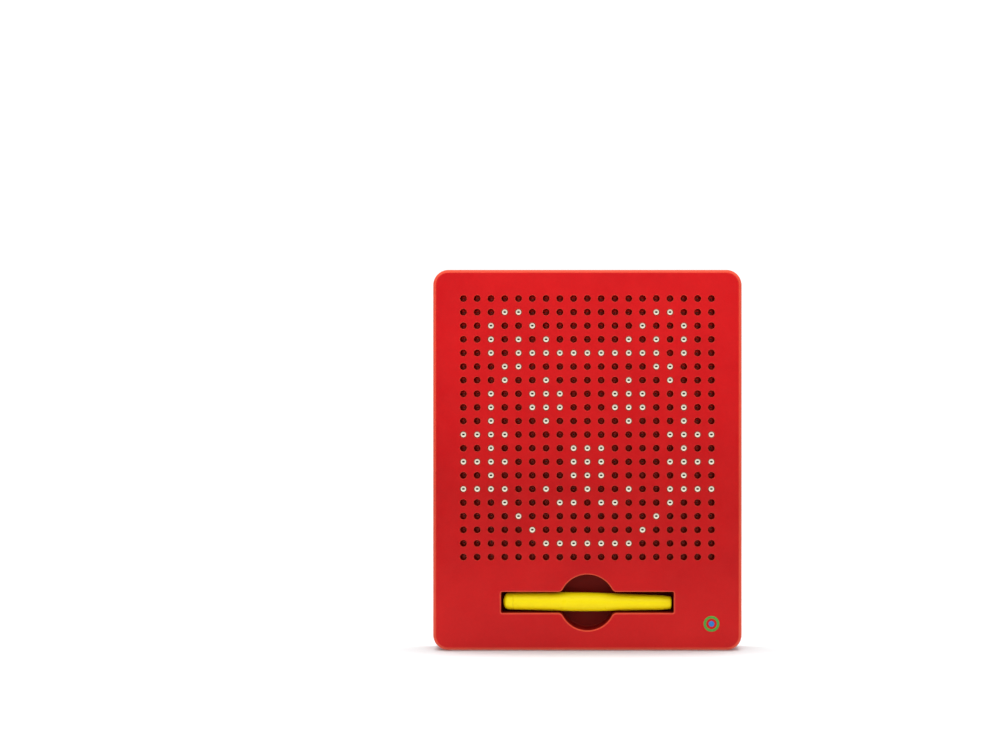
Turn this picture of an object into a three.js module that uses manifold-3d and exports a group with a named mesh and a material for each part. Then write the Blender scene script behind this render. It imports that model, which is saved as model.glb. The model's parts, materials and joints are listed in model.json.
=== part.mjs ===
// A magnetic bead drawing board and its stylus, in millimetres.
// The board is a flat moulded case. Steel beads sit in a grid of sockets behind small round holes in
// its face. The stylus has a magnet in its nose: it pulls a bead up into its hole, where it stands a
// little proud, and a fingertip pushes it down again. The stylus lies in a pocket below the beads.
//
// Everything is drawn with the board lying on its back: x across it, y up it from its bottom edge, and
// z towards its face. Depths are measured from the face into the board. The last group stands it on its
// bottom edge, so that z is up and the face looks along -y. The origin is at the middle of the whole
// thickness, proud beads included.

import * as THREE from "three";
import { mergeGeometries, mergeVertices } from "three/addons/utils/BufferGeometryUtils.js";
import Module from "manifold-3d";

const wasm = await Module();
wasm.setup();

// The board's outside.
const BOARD_WIDTH = 179.6;
const BOARD_HEIGHT = 221.4;
const BOARD_THICKNESS = 16;
const CORNER_RADIUS = 9;
const FACE_EDGE_ROUND = 2.4;
const BACK_EDGE_ROUND = 1.2;

// Pieces that touch are drawn this far apart.
const GAP = 0.3;

// The moulded case.
const FACE_PLATE = 1.2;
const SKIRT_WALL = 2;
const SKIRT_DEPTH = 12.7;
const BACK_PLATE = 2;
const LIP_WALL = 1.2;
const LIP_HEIGHT = 1.5;

// The beads. Rows are counted from the top and columns from the left.
const COLUMNS = 19;
const ROWS = 20;
const COLUMN_PITCH = 8;
const ROW_PITCH = 7.9;
const FIELD_CENTRE = 129.5;
const BEAD_RADIUS = 2.25;
const BEAD_TRAVEL = 4.75;
const RAISED_BEAD_DEPTH = 1.6;
const HOLE_ACROSS_FLATS = 4;
const HOLE_FLARE = 0.6;
const SOCKET_WIDTH = 4.9;
const GRID_BORDER = 4.2;
const GRID_FLOOR = 1.4;
const STOP_THICKNESS = 1.2;
const STOP_LENGTH = 16;
const STOP_DEPTH = 8;
const STOP_SPREAD = 45;
const RIB_THICKNESS = 1.6;
const RIB_SPREAD = 48;
const RIB_INSET = 10;

// The beads that have a piece of their own: two whole rows of the field. O is raised, . is pushed in.
const MOVING_ROWS = new Map([
  [13, "OOOO....OOO....OOOO"],
  [15, "OOOO..O..O..O..OOOO"],
]);

// The stylus pocket: a slot crossed by a round finger notch, both centred on one point.
const POCKET_HEIGHT = 28;
const SLOT_LENGTH = 100.4;
const SLOT_WIDTH = 12.2;
const SLOT_CORNER = 0.8;
const NOTCH_RADIUS = 16.2;
const NOTCH_FILLET = 3.2;
const POCKET_DEPTH = 12.1;
const POCKET_WALL = 1.4;

// The stylus, measured along its axis from the domed end.
const STYLUS_LENGTH = 98.5;
const STYLUS_HEIGHT = 27.5;
const STYLUS_DEPTH = 6.35;
const STYLUS_DROOP = THREE.MathUtils.degToRad(0.64);
const DOME_LENGTH = 3;
const DOME_RADIUS = 4.9;
const CAP_SEAM = 6;
const CAP_RADIUS = 5.1;
const BELLY = { at: 36, radius: 5.45 };
const BELLY_END = { at: 50, radius: 5.4 };
const WAIST = { at: 66, radius: 5 };
const NECK = { at: 91.5, radius: 4.4 };
const TIP_EDGE = { at: 97.8, radius: 3.7 };
const BARREL_BORE = 3.6;
const MAGNET_BORE = 2.7;
const MAGNET_START = 86;
const TIP_WALL = 1.2;
const SPIGOT_LENGTH = 6;
const PLUG_LENGTH = 6;

// The screws that hold the back on, and the bosses that they go into.
const SCREW_PLACES = [
  [-80.5, 8.5],
  [80.5, 8.5],
  [-62, 43],
  [62, 43],
  [-82.5, 115],
  [82.5, 115],
  [-80.5, 212.9],
  [80.5, 212.9],
];
const BOSS_RADIUS = 3.2;
const PILOT_RADIUS = 1.3;
const PILOT_START = 3;
const SEAT_RADIUS = 4.3;
const SEAT_DEPTH = 13.8;
const SCREW_HOLE_RADIUS = 1.8;
const COUNTERBORE_RADIUS = 3.1;
const SCREW_HEAD_RADIUS = 2.7;
const SCREW_HEAD_HEIGHT = 1.6;
const SCREW_CROWN_RADIUS = 2.3;
const SCREW_CROWN_HEIGHT = 0.55;
const SCREW_SHANK_RADIUS = 1;
const SCREW_POINT_DEPTH = 5;
const SCREW_POINT_LENGTH = 1.5;

// Facets. An arc of an outline gets twice its number of steps.
const CORNER_STEPS = 2;
const POCKET_STEPS = 3;
const EDGE_STEPS = 2;
const STYLUS_SIDES = 16;
const SCREW_SIDES = 8;
const BOSS_SIDES = 8;
const HOLE_SIDES = 6;
const BEAD_SIDES = 8;

// A cutter reaches this far past the surface that it cuts through.
const PAST = 1;

const BEAD_PROUD = BEAD_RADIUS - RAISED_BEAD_DEPTH;
const LOWERED_BEAD_DEPTH = RAISED_BEAD_DEPTH + BEAD_TRAVEL;
const GRID_NEAR = FACE_PLATE + GAP;
const SOCKET_DEPTH = LOWERED_BEAD_DEPTH + BEAD_RADIUS + GAP;
const GRID_FAR = SOCKET_DEPTH + GRID_FLOOR;
const GRID_WIDTH = (COLUMNS - 1) * COLUMN_PITCH + 2 * GRID_BORDER;
const GRID_HEIGHT = (ROWS - 1) * ROW_PITCH + 2 * GRID_BORDER;
const COVER_NEAR = SKIRT_DEPTH + GAP;
const COVER_INSIDE = BOARD_THICKNESS - BACK_PLATE;

const red = material(0xc4201f, 0.38, 0);
const innerRed = material(0x5a1413, 0.6, 0);
const yellow = material(0xf7e01a, 0.3, 0);
const beadSteel = material(0xd9d9d4, 0.15, 1);
const magnetSteel = material(0x9a9aa0, 0.3, 1);
const screwSteel = material(0x8c8f94, 0.35, 1);

function material(color, roughness, metalness) {
  return new THREE.MeshStandardMaterial({ color, roughness, metalness });
}

function piece(name, geometry, surface) {
  const mesh = new THREE.Mesh(geometry, surface);
  mesh.name = name;
  return mesh;
}

// The height of a plane that lies a given depth below the face.
function level(depth) {
  return (BOARD_THICKNESS - BEAD_PROUD) / 2 - depth;
}

// A closed geometry as a solid that can be joined and cut.
function solid(geometry) {
  const bare = geometry.index ? geometry.toNonIndexed() : geometry.clone();
  bare.deleteAttribute("normal");
  bare.deleteAttribute("uv");
  const merged = mergeVertices(bare);
  const mesh = new wasm.Mesh({
    numProp: 3,
    vertProperties: merged.attributes.position.array,
    triVerts: new Uint32Array(merged.index.array),
  });
  return new wasm.Manifold(mesh);
}

function geometryOf(made) {
  const mesh = made.getMesh();
  const geometry = new THREE.BufferGeometry();
  geometry.setAttribute("position", new THREE.BufferAttribute(mesh.vertProperties, 3));
  geometry.setIndex(new THREE.BufferAttribute(mesh.triVerts, 1));
  const faceted = geometry.toNonIndexed();
  faceted.computeVertexNormals();
  return faceted;
}

// An outline pushed through from one depth to a greater one.
function prism(outline, near, far, steps = CORNER_STEPS) {
  const options = { depth: far - near, bevelEnabled: false, curveSegments: steps };
  return new THREE.ExtrudeGeometry(outline, options).translate(0, 0, level(far));
}

// A round or many-sided post along z, centred on a point of the board.
function post([x, y], radius, near, far, sides) {
  const cylinder = new THREE.CylinderGeometry(radius, radius, far - near, sides);
  return cylinder.rotateX(Math.PI / 2).translate(x, y, level((near + far) / 2));
}

function block(width, height, near, far, [x, y]) {
  return new THREE.BoxGeometry(width, height, far - near).translate(x, y, level((near + far) / 2));
}

// The board's outline, moved inwards.
function boardOutline(inset) {
  const right = BOARD_WIDTH / 2 - inset;
  const bottom = inset;
  const top = BOARD_HEIGHT - inset;
  const radius = CORNER_RADIUS - inset;
  const shape = new THREE.Shape();
  shape.moveTo(-right + radius, bottom);
  shape.absarc(right - radius, bottom + radius, radius, -Math.PI / 2, 0, false);
  shape.absarc(right - radius, top - radius, radius, 0, Math.PI / 2, false);
  shape.absarc(-right + radius, top - radius, radius, Math.PI / 2, Math.PI, false);
  shape.absarc(-right + radius, bottom + radius, radius, Math.PI, 1.5 * Math.PI, false);
  return shape;
}

// A slab of the board's outline whose two rims are rounded.
function roundedSlab(near, far, round) {
  const geometry = new THREE.ExtrudeGeometry(boardOutline(round), {
    depth: far - near - 2 * round,
    bevelThickness: round,
    bevelSize: round,
    bevelSegments: EDGE_STEPS,
    curveSegments: CORNER_STEPS,
  });
  return geometry.translate(0, 0, level(far - round));
}

// The pocket's outline, grown outwards: slot and notch run into each other through small fillets.
function pocketOutline(grow) {
  const half = SLOT_LENGTH / 2 + grow;
  const edge = SLOT_WIDTH / 2 + grow;
  const corner = SLOT_CORNER + grow;
  const notch = NOTCH_RADIUS + grow;
  const fillet = NOTCH_FILLET - grow;
  const filletY = SLOT_WIDTH / 2 + NOTCH_FILLET;
  const filletX = Math.sqrt((NOTCH_RADIUS + NOTCH_FILLET) ** 2 - filletY ** 2);
  const turn = Math.atan2(filletY, filletX);
  const quarter = Math.PI / 2;
  const shape = new THREE.Shape();
  shape.moveTo(half, -edge + corner);
  shape.absarc(half - corner, edge - corner, corner, 0, quarter, false);
  shape.absarc(filletX, filletY, fillet, -quarter, turn - Math.PI, true);
  shape.absarc(0, 0, notch, turn, Math.PI - turn, false);
  shape.absarc(-filletX, filletY, fillet, -turn, -quarter, true);
  shape.absarc(-half + corner, edge - corner, corner, quarter, 2 * quarter, false);
  shape.absarc(-half + corner, -edge + corner, corner, 2 * quarter, 3 * quarter, false);
  shape.absarc(-filletX, -filletY, fillet, quarter, turn, true);
  shape.absarc(0, 0, notch, Math.PI + turn, 2 * Math.PI - turn, false);
  shape.absarc(filletX, -filletY, fillet, Math.PI - turn, quarter, true);
  shape.absarc(half - corner, -edge + corner, corner, -quarter, 0, false);
  return shape;
}

function pocketPrism(grow, near, far) {
  return prism(pocketOutline(grow), near, far, POCKET_STEPS).translate(0, POCKET_HEIGHT, 0);
}

// The point on the board where a bead's row and column meet.
function beadPlace(row, column) {
  const x = (column - (COLUMNS + 1) / 2) * COLUMN_PITCH;
  const y = FIELD_CENTRE + ((ROWS + 1) / 2 - row) * ROW_PITCH;
  return [x, y];
}

// One shape for every bead in the field, as a single cutter.
function everyBead(makeShape) {
  const shapes = [];
  for (let row = 1; row <= ROWS; row += 1) {
    for (let column = 1; column <= COLUMNS; column += 1) {
      shapes.push(makeShape(beadPlace(row, column)));
    }
  }
  return solid(mergeGeometries(shapes));
}

// A bead's hole: narrowest at the face and flared behind it, so that a raised bead seats in it.
function hole([x, y]) {
  const toCorner = 1 / Math.cos(Math.PI / HOLE_SIDES);
  const slope = HOLE_FLARE / FACE_PLATE;
  const faceRadius = (HOLE_ACROSS_FLATS / 2 - PAST * slope) * toCorner;
  const backRadius = (HOLE_ACROSS_FLATS / 2 + (FACE_PLATE + PAST) * slope) * toCorner;
  const cone = new THREE.CylinderGeometry(faceRadius, backRadius, FACE_PLATE + 2 * PAST, HOLE_SIDES);
  return cone.rotateX(Math.PI / 2).translate(x, y, level(FACE_PLATE / 2));
}

// Two short ribs on each side of the bead grid keep it from sliding inside the case.
function gridStops() {
  const near = FACE_PLATE / 2;
  const sideX = GRID_WIDTH / 2 + GAP + STOP_THICKNESS / 2;
  const endY = GRID_HEIGHT / 2 + GAP + STOP_THICKNESS / 2;
  const stops = [];
  for (const side of [-1, 1]) {
    for (const place of [-STOP_SPREAD, STOP_SPREAD]) {
      stops.push(block(STOP_THICKNESS, STOP_LENGTH, near, STOP_DEPTH, [side * sideX, FIELD_CENTRE + place]));
      stops.push(block(STOP_LENGTH, STOP_THICKNESS, near, STOP_DEPTH, [place, FIELD_CENTRE + side * endY]));
    }
  }
  return stops;
}

// Face, skirt, screw bosses and stylus pocket are one moulding.
function frontShell() {
  const below = BOARD_THICKNESS + PAST;
  let shell = solid(roundedSlab(0, BOARD_THICKNESS, FACE_EDGE_ROUND));
  shell = shell.subtract(solid(prism(boardOutline(-PAST), SKIRT_DEPTH, below)));
  shell = shell.subtract(solid(prism(boardOutline(SKIRT_WALL), FACE_PLATE, below)));
  for (const place of SCREW_PLACES) {
    shell = shell.add(solid(post(place, BOSS_RADIUS, FACE_PLATE / 2, SKIRT_DEPTH - GAP, BOSS_SIDES)));
  }
  for (const stop of gridStops()) {
    shell = shell.add(solid(stop));
  }
  shell = shell.add(solid(pocketPrism(POCKET_WALL, FACE_PLATE / 2, POCKET_DEPTH + POCKET_WALL)));
  shell = shell.subtract(solid(pocketPrism(0, -PAST, POCKET_DEPTH)));
  for (const place of SCREW_PLACES) {
    shell = shell.subtract(solid(post(place, PILOT_RADIUS, PILOT_START, below, HOLE_SIDES)));
  }
  shell = shell.subtract(everyBead(hole));
  return piece("front_shell", geometryOf(shell), red);
}

// The block of sockets behind the face, one socket for each bead.
function beadGrid() {
  const slab = solid(block(GRID_WIDTH, GRID_HEIGHT, GRID_NEAR, GRID_FAR, [0, FIELD_CENTRE]));
  const mouth = GRID_NEAR - PAST;
  const sockets = everyBead((place) => block(SOCKET_WIDTH, SOCKET_WIDTH, mouth, SOCKET_DEPTH, place));
  return piece("bead_grid", geometryOf(slab.subtract(sockets)), innerRed);
}

// Ribs on the inside of the back that hold the bead grid up against the face.
function coverRibs() {
  const near = GRID_FAR + GAP;
  const far = COVER_INSIDE + BACK_PLATE / 2;
  const ribs = [];
  for (const place of [-RIB_SPREAD, 0, RIB_SPREAD]) {
    ribs.push(block(RIB_THICKNESS, GRID_HEIGHT - 2 * RIB_INSET, near, far, [place, FIELD_CENTRE]));
    ribs.push(block(GRID_WIDTH - 2 * RIB_INSET, RIB_THICKNESS, near, far, [0, FIELD_CENTRE + place]));
  }
  return ribs;
}

// The back: a shallow tray with a lip that locates it inside the skirt.
function rearCover() {
  const below = BOARD_THICKNESS + PAST;
  const lipOutside = SKIRT_WALL + GAP;
  const lipNear = COVER_NEAR - LIP_HEIGHT;
  let cover = solid(roundedSlab(0, BOARD_THICKNESS, BACK_EDGE_ROUND));
  cover = cover.subtract(solid(prism(boardOutline(-PAST), -PAST, COVER_NEAR)));
  cover = cover.add(solid(prism(boardOutline(lipOutside), lipNear, COVER_INSIDE + BACK_PLATE / 2)));
  cover = cover.subtract(solid(prism(boardOutline(lipOutside + LIP_WALL), lipNear - PAST, COVER_INSIDE)));
  for (const rib of coverRibs()) {
    cover = cover.add(solid(rib));
  }
  for (const place of SCREW_PLACES) {
    const seatEnd = COVER_INSIDE + BACK_PLATE / 2;
    cover = cover.add(solid(post(place, SEAT_RADIUS, COVER_NEAR - GAP, seatEnd, BOSS_SIDES)));
  }
  for (const place of SCREW_PLACES) {
    cover = cover.subtract(solid(post(place, SCREW_HOLE_RADIUS, 0, below, SCREW_SIDES)));
    cover = cover.subtract(solid(post(place, COUNTERBORE_RADIUS, SEAT_DEPTH, below, SCREW_SIDES)));
  }
  return piece("rear_cover", geometryOf(cover), red);
}

// A pan-head screw, its head towards the back of the board.
function screw(number, place) {
  const underHead = SEAT_DEPTH + GAP;
  const length = SCREW_HEAD_HEIGHT + underHead - SCREW_POINT_DEPTH;
  const profile = [
    [0, 0],
    [SCREW_CROWN_RADIUS, 0],
    [SCREW_HEAD_RADIUS, SCREW_CROWN_HEIGHT],
    [SCREW_HEAD_RADIUS, SCREW_HEAD_HEIGHT],
    [SCREW_SHANK_RADIUS, SCREW_HEAD_HEIGHT],
    [SCREW_SHANK_RADIUS, length - SCREW_POINT_LENGTH],
    [0, length],
  ];
  const points = profile.map(([radius, along]) => new THREE.Vector2(radius, along));
  const geometry = new THREE.LatheGeometry(points, SCREW_SIDES).rotateX(Math.PI / 2);
  const mesh = piece("screw_" + String(number).padStart(2, "0"), geometry, screwSteel);
  mesh.position.set(...place, level(underHead + SCREW_HEAD_HEIGHT));
  return mesh;
}

// A steel bead at rest: against its hole if it is raised, at the bottom of its socket if it isn't.
function bead(row, column, raised) {
  const name = "bead_" + [row, column].map((n) => String(n).padStart(2, "0")).join("_");
  const mesh = piece(name, new THREE.SphereGeometry(BEAD_RADIUS, BEAD_SIDES, BEAD_SIDES / 2), beadSteel);
  mesh.position.set(...beadPlace(row, column), level(raised ? RAISED_BEAD_DEPTH : LOWERED_BEAD_DEPTH));
  return mesh;
}

function movingBeads() {
  const beads = new THREE.Group();
  for (const [row, picture] of MOVING_ROWS) {
    for (let column = 1; column <= COLUMNS; column += 1) {
      beads.add(bead(row, column, picture[column - 1] === "O"));
    }
  }
  return beads;
}

// A round piece of the stylus from its profile of [distance along the axis, radius] points.
function turned(name, profile, surface) {
  const points = profile.map(([along, radius]) => new THREE.Vector2(radius, along));
  return piece(name, new THREE.LatheGeometry(points, STYLUS_SIDES), surface);
}

function stylusCap() {
  const domeSteps = 4;
  const profile = [];
  for (let step = 0; step <= domeSteps; step += 1) {
    const angle = (step / domeSteps) * (Math.PI / 2);
    profile.push([DOME_LENGTH * (1 - Math.cos(angle)), DOME_RADIUS * Math.sin(angle)]);
  }
  const seam = CAP_SEAM - GAP / 2;
  const spigot = BARREL_BORE - GAP;
  profile.push([seam, CAP_RADIUS], [seam, spigot], [seam + SPIGOT_LENGTH, spigot], [seam + SPIGOT_LENGTH, 0]);
  return turned("stylus_end_cap", profile, yellow);
}

function stylusBarrel() {
  const open = CAP_SEAM + GAP / 2;
  const magnetEnd = STYLUS_LENGTH - TIP_WALL;
  const profile = [
    [magnetEnd, 0],
    [magnetEnd, MAGNET_BORE],
    [MAGNET_START, MAGNET_BORE],
    [MAGNET_START, BARREL_BORE],
    [open, BARREL_BORE],
    [open, CAP_RADIUS],
    [BELLY.at, BELLY.radius],
    [BELLY_END.at, BELLY_END.radius],
    [WAIST.at, WAIST.radius],
    [NECK.at, NECK.radius],
    [TIP_EDGE.at, TIP_EDGE.radius],
    [STYLUS_LENGTH, 0],
  ];
  return turned("stylus_barrel", profile, yellow);
}

function stylusMagnet() {
  const radius = MAGNET_BORE - GAP;
  const end = STYLUS_LENGTH - TIP_WALL - GAP;
  const profile = [[MAGNET_START, 0], [MAGNET_START, radius], [end, radius], [end, 0]];
  return turned("stylus_magnet", profile, magnetSteel);
}

function stylusPlug() {
  const radius = BARREL_BORE - GAP;
  const end = MAGNET_START - GAP;
  const start = end - PLUG_LENGTH;
  const profile = [[start, 0], [start, radius], [end, radius], [end, 0]];
  return turned("stylus_magnet_plug", profile, innerRed);
}

// The stylus lies in its pocket with its nose a little lower than its cap.
function stylus() {
  const pieces = new THREE.Group();
  pieces.add(stylusBarrel(), stylusCap(), stylusMagnet(), stylusPlug());
  pieces.position.y = -STYLUS_LENGTH / 2;
  const turnedAcross = new THREE.Group();
  turnedAcross.add(pieces);
  turnedAcross.rotation.z = -Math.PI / 2 - STYLUS_DROOP;
  turnedAcross.position.set(0, STYLUS_HEIGHT, level(STYLUS_DEPTH));
  return turnedAcross;
}

const board = new THREE.Group();
board.add(frontShell(), beadGrid(), rearCover(), movingBeads(), stylus());
SCREW_PLACES.forEach((place, index) => board.add(screw(index + 1, place)));
board.rotation.x = Math.PI / 2;

const drawingBoard = new THREE.Group();
drawingBoard.add(board);

export default drawingBoard;
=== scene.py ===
"""The looks of a magnetic bead drawing board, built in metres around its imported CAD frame.

The board stands on its bottom edge with its face towards -y. A place on it is given as x across it,
z up it and a depth, which runs from the face into the board.
"""

import json
import math

import bmesh
import bpy
from mathutils import Matrix, Vector
from mathutils.geometry import tessellate_polygon


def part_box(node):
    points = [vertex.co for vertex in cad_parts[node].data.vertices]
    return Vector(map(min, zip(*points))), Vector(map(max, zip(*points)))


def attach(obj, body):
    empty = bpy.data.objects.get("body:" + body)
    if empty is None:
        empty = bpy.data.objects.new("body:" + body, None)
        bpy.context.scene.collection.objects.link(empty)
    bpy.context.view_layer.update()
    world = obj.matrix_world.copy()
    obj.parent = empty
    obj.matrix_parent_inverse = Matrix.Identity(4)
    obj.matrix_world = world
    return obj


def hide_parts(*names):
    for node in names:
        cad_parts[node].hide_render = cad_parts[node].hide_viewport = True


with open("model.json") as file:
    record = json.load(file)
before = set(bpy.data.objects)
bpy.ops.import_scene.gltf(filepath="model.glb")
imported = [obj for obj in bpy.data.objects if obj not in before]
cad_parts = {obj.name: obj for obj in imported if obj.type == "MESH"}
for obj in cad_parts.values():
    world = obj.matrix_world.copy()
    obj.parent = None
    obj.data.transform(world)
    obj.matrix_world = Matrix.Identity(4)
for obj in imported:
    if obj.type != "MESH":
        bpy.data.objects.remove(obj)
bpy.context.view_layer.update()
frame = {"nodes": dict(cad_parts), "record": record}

MM = 0.001

# The bead picture, row by row from the top. O is a raised bead, . is one that is pushed in.
PICTURE = [
    "...................",
    "...OO.........OO...",
    "..O..O.......O..O..",
    "..O.O.O.....O.O.O..",
    "..O.OOOOOOOOOOO.O..",
    "...OO.........OO...",
    "...O..O.....O..O...",
    "..O..OOO...OOO..O..",
    "..O..OOO...OOO..O..",
    "..O...O.....O...O..",
    "OOOO...........OOOO",
    "..O.....OOO.....O..",
    "OOOO....OOO....OOOO",
    "..O.....OOO.....O..",
    "OOOO..O..O..O..OOOO",
    "...O...OO.OO...O...",
    "....O.........O....",
    ".....O.......O.....",
    "......OOOOOOO......",
    "...................",
]
ROWS = len(PICTURE)
COLUMNS = len(PICTURE[0])


def middle(node):
    low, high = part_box(node)
    return (low + high) / 2


# Places and sizes that the frame gives.
face_low, face_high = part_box("front_shell")
back_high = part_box("rear_cover")[1]
grid_low, grid_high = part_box("bead_grid")
FACE_Y = face_low.y
BOARD_WIDTH = face_high.x - face_low.x
BOARD_HEIGHT = face_high.z - face_low.z
BOARD_DEPTH = back_high.y - face_low.y
BOARD_MIDDLE = BOARD_HEIGHT / 2
FIRST_BEAD = middle("bead_13_01")
COLUMN_PITCH = middle("bead_13_02").x - FIRST_BEAD.x
ROW_PITCH = (FIRST_BEAD.z - middle("bead_15_01").z) / 2
ROWS_ABOVE_FIRST_BEAD = 12
TOP_ROW = FIRST_BEAD.z + ROWS_ABOVE_FIRST_BEAD * ROW_PITCH
BEAD_RADIUS = (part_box("bead_13_01")[1].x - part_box("bead_13_01")[0].x) / 2
RAISED_DEPTH = FIRST_BEAD.y - FACE_Y
PUSHED_DEPTH = middle("bead_13_05").y - FACE_Y
GRID_NEAR = grid_low.y - FACE_Y
GRID_FAR = grid_high.y - FACE_Y
notch_boxes = [corner for opening in frame["record"]["physics"]["openings"] for corner in opening["box_m"]]
POCKET_Z = (min(corner[2] for corner in notch_boxes) + max(corner[2] for corner in notch_boxes)) / 2

# The case's own shape, as in the CAD model.
CORNER = 9 * MM
FACE_ROUND = 2.4 * MM
BACK_ROUND = 1.2 * MM
FACE_PLATE = 1.2 * MM
SKIRT_WALL = 2 * MM
SKIRT_DEPTH = 12.7 * MM
COVER_NEAR = 13 * MM
COVER_INSIDE = 14 * MM
LIP_WALL = 1.2 * MM
LIP_HEIGHT = 1.5 * MM
GAP = 0.3 * MM
SLOT_HALF_LENGTH = 50.2 * MM
SLOT_HALF_WIDTH = 6.1 * MM
SLOT_CORNER = 0.8 * MM
NOTCH_RADIUS = 16.2 * MM
NOTCH_FILLET = 3.2 * MM
POCKET_DEPTH = 12.1 * MM
POCKET_WALL = 1.4 * MM
BOSS_RADIUS = 3.2 * MM
PILOT_RADIUS = 1.3 * MM
PILOT_START = 3 * MM
SEAT_RADIUS = 4.3 * MM
SEAT_DEPTH = 13.8 * MM
SCREW_HOLE_RADIUS = 1.8 * MM
COUNTERBORE_RADIUS = 3.1 * MM

# What the CAD model leaves out: round holes and sockets, and finely rounded edges.
HOLE_RADIUS = 1.98 * MM
HOLE_RIM = 0.3 * MM
HOLE_LIP = 0.4 * MM
SOCKET_RADIUS = 2.3 * MM
SOCKET_MOUTH = 0.1 * MM
SOCKET_TAPER = 0.6 * MM
SOCKET_DEPTH = PUSHED_DEPTH + BEAD_RADIUS + GAP
SEAM_ROUND = 0.25 * MM
POCKET_RIM = 1 * MM
POCKET_FOOT = 0.9 * MM
BOSS_ROUND = 0.2 * MM
COUNTERBORE_ROUND = 0.25 * MM

# The printed ring and dot, low on the right of the face.
PRINT_X = 72 * MM
PRINT_Z = 15.7 * MM
RING_OUTSIDE = 4.6 * MM
RING_INSIDE = 3.1 * MM
DOT_RADIUS = 1.7 * MM
INK_FILM = 0.03 * MM
INK_ROOT = 0.02 * MM

# How finely curves are drawn.
CELL_SIDE_STEPS = 6
ARC_STEP = math.radians(6)
FACE_EDGE_STEPS = 9
BACK_EDGE_STEPS = 6
RIM_STEPS = 5
FOOT_STEPS = 4
HOLE_RIM_STEPS = 4
BOSS_SIDES = 32
COUNTERBORE_SIDES = 40
PRINT_SIDES = 64
STYLUS_SIDES = 72
DOME_STEPS = 12
BARREL_STEPS = 6
SCREW_SIDES = 32

# Sides and steps of a ball: one that moves, one that is fixed and raised, one that is fixed and pushed in.
MOVING_BALL = (32, 20)
RAISED_BALL = (28, 16)
PUSHED_BALL = (16, 12)

# Points closer than this are one point.
WELD = 0.002 * MM


# ---------------------------------------------------------------- building meshes


def at(x, depth, z):
    return Vector((x, FACE_Y + depth, z))


def arc(centre_x, centre_z, radius, start, end):
    """Points along an arc. Angles are in radians, from +x towards +z."""
    steps = max(2, math.ceil(abs(end - start) / ARC_STEP))
    points = []
    for step in range(steps + 1):
        angle = start + (end - start) * step / steps
        points.append((centre_x + radius * math.cos(angle), centre_z + radius * math.sin(angle)))
    return points


def board_outline(inset):
    """The board's outline moved inwards, anticlockwise as its face is looked at."""
    right = BOARD_WIDTH / 2 - inset
    low = inset
    high = BOARD_HEIGHT - inset
    radius = CORNER - inset
    quarter = math.pi / 2
    points = arc(right - radius, low + radius, radius, -quarter, 0)
    points += arc(right - radius, high - radius, radius, 0, quarter)
    points += arc(radius - right, high - radius, radius, quarter, 2 * quarter)
    points += arc(radius - right, low + radius, radius, 2 * quarter, 3 * quarter)
    return points


def pocket_outline(grow):
    """The stylus slot crossed by the round finger notch, moved outwards, anticlockwise."""
    half = SLOT_HALF_LENGTH + grow
    edge = SLOT_HALF_WIDTH + grow
    corner = SLOT_CORNER + grow
    notch = NOTCH_RADIUS + grow
    fillet = NOTCH_FILLET - grow
    fillet_z = SLOT_HALF_WIDTH + NOTCH_FILLET
    fillet_x = math.sqrt((NOTCH_RADIUS + NOTCH_FILLET) ** 2 - fillet_z ** 2)
    turn = math.atan2(fillet_z, fillet_x)
    quarter = math.pi / 2
    points = []
    for side in (1, -1):
        # The lower half is the upper one turned half way round.
        half_outline = arc(half - corner, edge - corner, corner, 0, quarter)
        half_outline += arc(fillet_x, fillet_z, fillet, -quarter, turn - math.pi)
        half_outline += arc(0, 0, notch, turn, math.pi - turn)
        half_outline += arc(-fillet_x, fillet_z, fillet, -turn, -quarter)
        half_outline += arc(corner - half, edge - corner, corner, quarter, 2 * quarter)
        points += [(side * x, POCKET_Z + side * z) for x, z in half_outline]
    return points


def circle(centre_x, centre_z, radius, sides):
    turn = 2 * math.pi / sides
    return [
        (centre_x + radius * math.cos(turn * side), centre_z + radius * math.sin(turn * side))
        for side in range(sides)
    ]


def rectangle(centre_x, centre_z, width, height):
    return [
        (centre_x + sx * width / 2, centre_z + sz * height / 2)
        for sx, sz in ((-1, -1), (1, -1), (1, 1), (-1, 1))
    ]


def rounded_profile(from_depth, to_depth, inset, steps):
    """(inset, depth) pairs of a quarter round that goes from the flat at from_depth out to inset 0."""
    pairs = []
    for step in range(steps + 1):
        angle = step / steps * math.pi / 2
        depth = to_depth + (from_depth - to_depth) * math.cos(angle)
        pairs.append((inset * (1 - math.sin(angle)), depth))
    return pairs


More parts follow.
